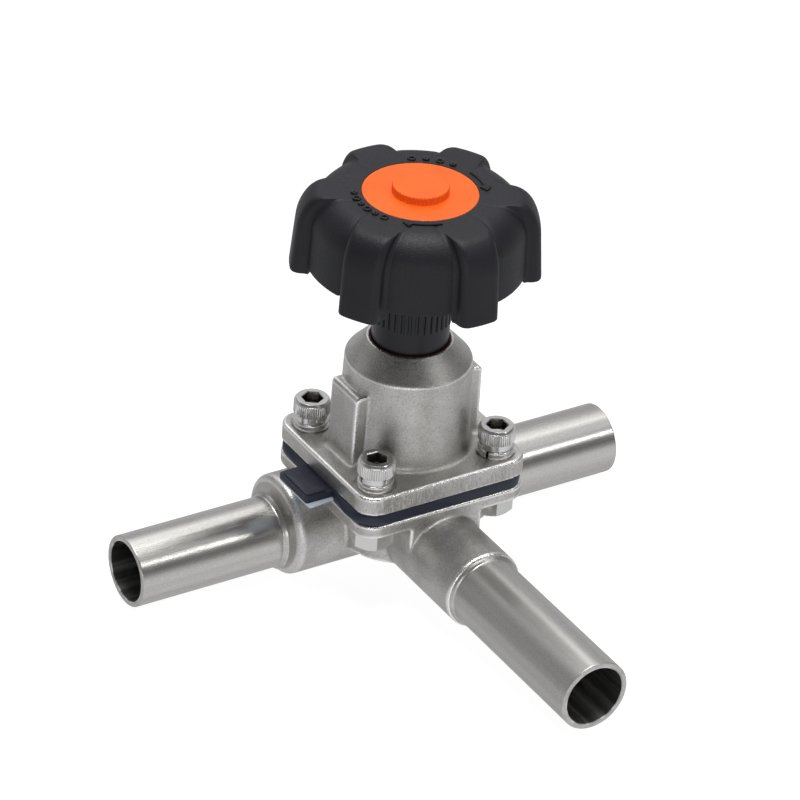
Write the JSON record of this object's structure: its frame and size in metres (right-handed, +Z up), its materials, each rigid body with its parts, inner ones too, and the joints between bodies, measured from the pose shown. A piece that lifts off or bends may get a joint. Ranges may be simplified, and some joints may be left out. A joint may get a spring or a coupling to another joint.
{
  "type": "three-way diaphragm valve",
  "caption": "Hand-operated sanitary T diaphragm valve: straight run tube, branch tube off its weir, clamped diaphragm, bonnet and rising lobed handwheel; weld ends.",
  "frame": {"origin": "centre of the run tube's bore, midway between its two ends", "axes": "+X along the run tube, -Y along the branch tube, +Z up along the stem (the stem axis is 14.2 mm from the origin on the branch's side)"},
  "size_m": [0.1446, 0.1245, 0.1136],
  "materials": {
    "cast_steel": "bead-blasted investment casting",
    "tube_steel": "satin, drawn along the tube",
    "fastener_steel": "bright, machined",
    "inner_steel": "turned",
    "bronze": "turned",
    "ptfe": "matt",
    "backing_rubber": "moulded, matt",
    "ring_rubber": "moulded",
    "black_plastic": "fine moulded grain",
    "orange_plastic": "matt"
  },
  "bodies": {
    "valve": {"valve_body": "cast_steel", "bonnet": "cast_steel", "run_tube_left": "tube_steel", "run_tube_right": "tube_steel", "branch_tube": "tube_steel", "ptfe_diaphragm": "ptfe", "diaphragm_backing": "backing_rubber", "spindle_nut": "bronze", "nut_seal_ring": "ring_rubber", "wiper_ring": "ring_rubber", "cap_screw_1": "fastener_steel", "spring_washer_1": "fastener_steel", "cap_screw_2": "fastener_steel", "spring_washer_2": "fastener_steel", "cap_screw_3": "fastener_steel", "spring_washer_3": "fastener_steel", "cap_screw_4": "fastener_steel", "spring_washer_4": "fastener_steel", "hex_nut_1": "fastener_steel", "hex_nut_2": "fastener_steel"},
    "compressor": {"compressor": "inner_steel", "compressor_pin_1": "fastener_steel", "compressor_pin_2": "fastener_steel", "diaphragm_stud": "fastener_steel", "thrust_disc": "inner_steel"},
    "handwheel": {"spindle": "inner_steel", "hub_sleeve": "black_plastic", "handwheel": "black_plastic", "drive_insert": "bronze", "wheel_washer": "fastener_steel", "wheel_screw": "fastener_steel", "wheel_disc": "orange_plastic", "wheel_cap": "orange_plastic"}
  },
  "joints": [
    {"name": "compressor_lift", "type": "slide", "parent": "valve", "child": "compressor", "axis": [0, 0, 1], "range_m": [-0.005, 0], "deforming": ["ptfe_diaphragm", "diaphragm_backing"]},
    {"name": "handwheel_turn", "type": "hinge", "parent": "compressor", "child": "handwheel", "pos_m": [0, -0.0142, 0.09], "axis": [0, 0, 1], "range_deg": [-900, 0]}
  ],
  "couplings": [
    {"joint": "handwheel_turn", "follows": "compressor_lift", "rad_per_m": 3141.5}
  ]
}
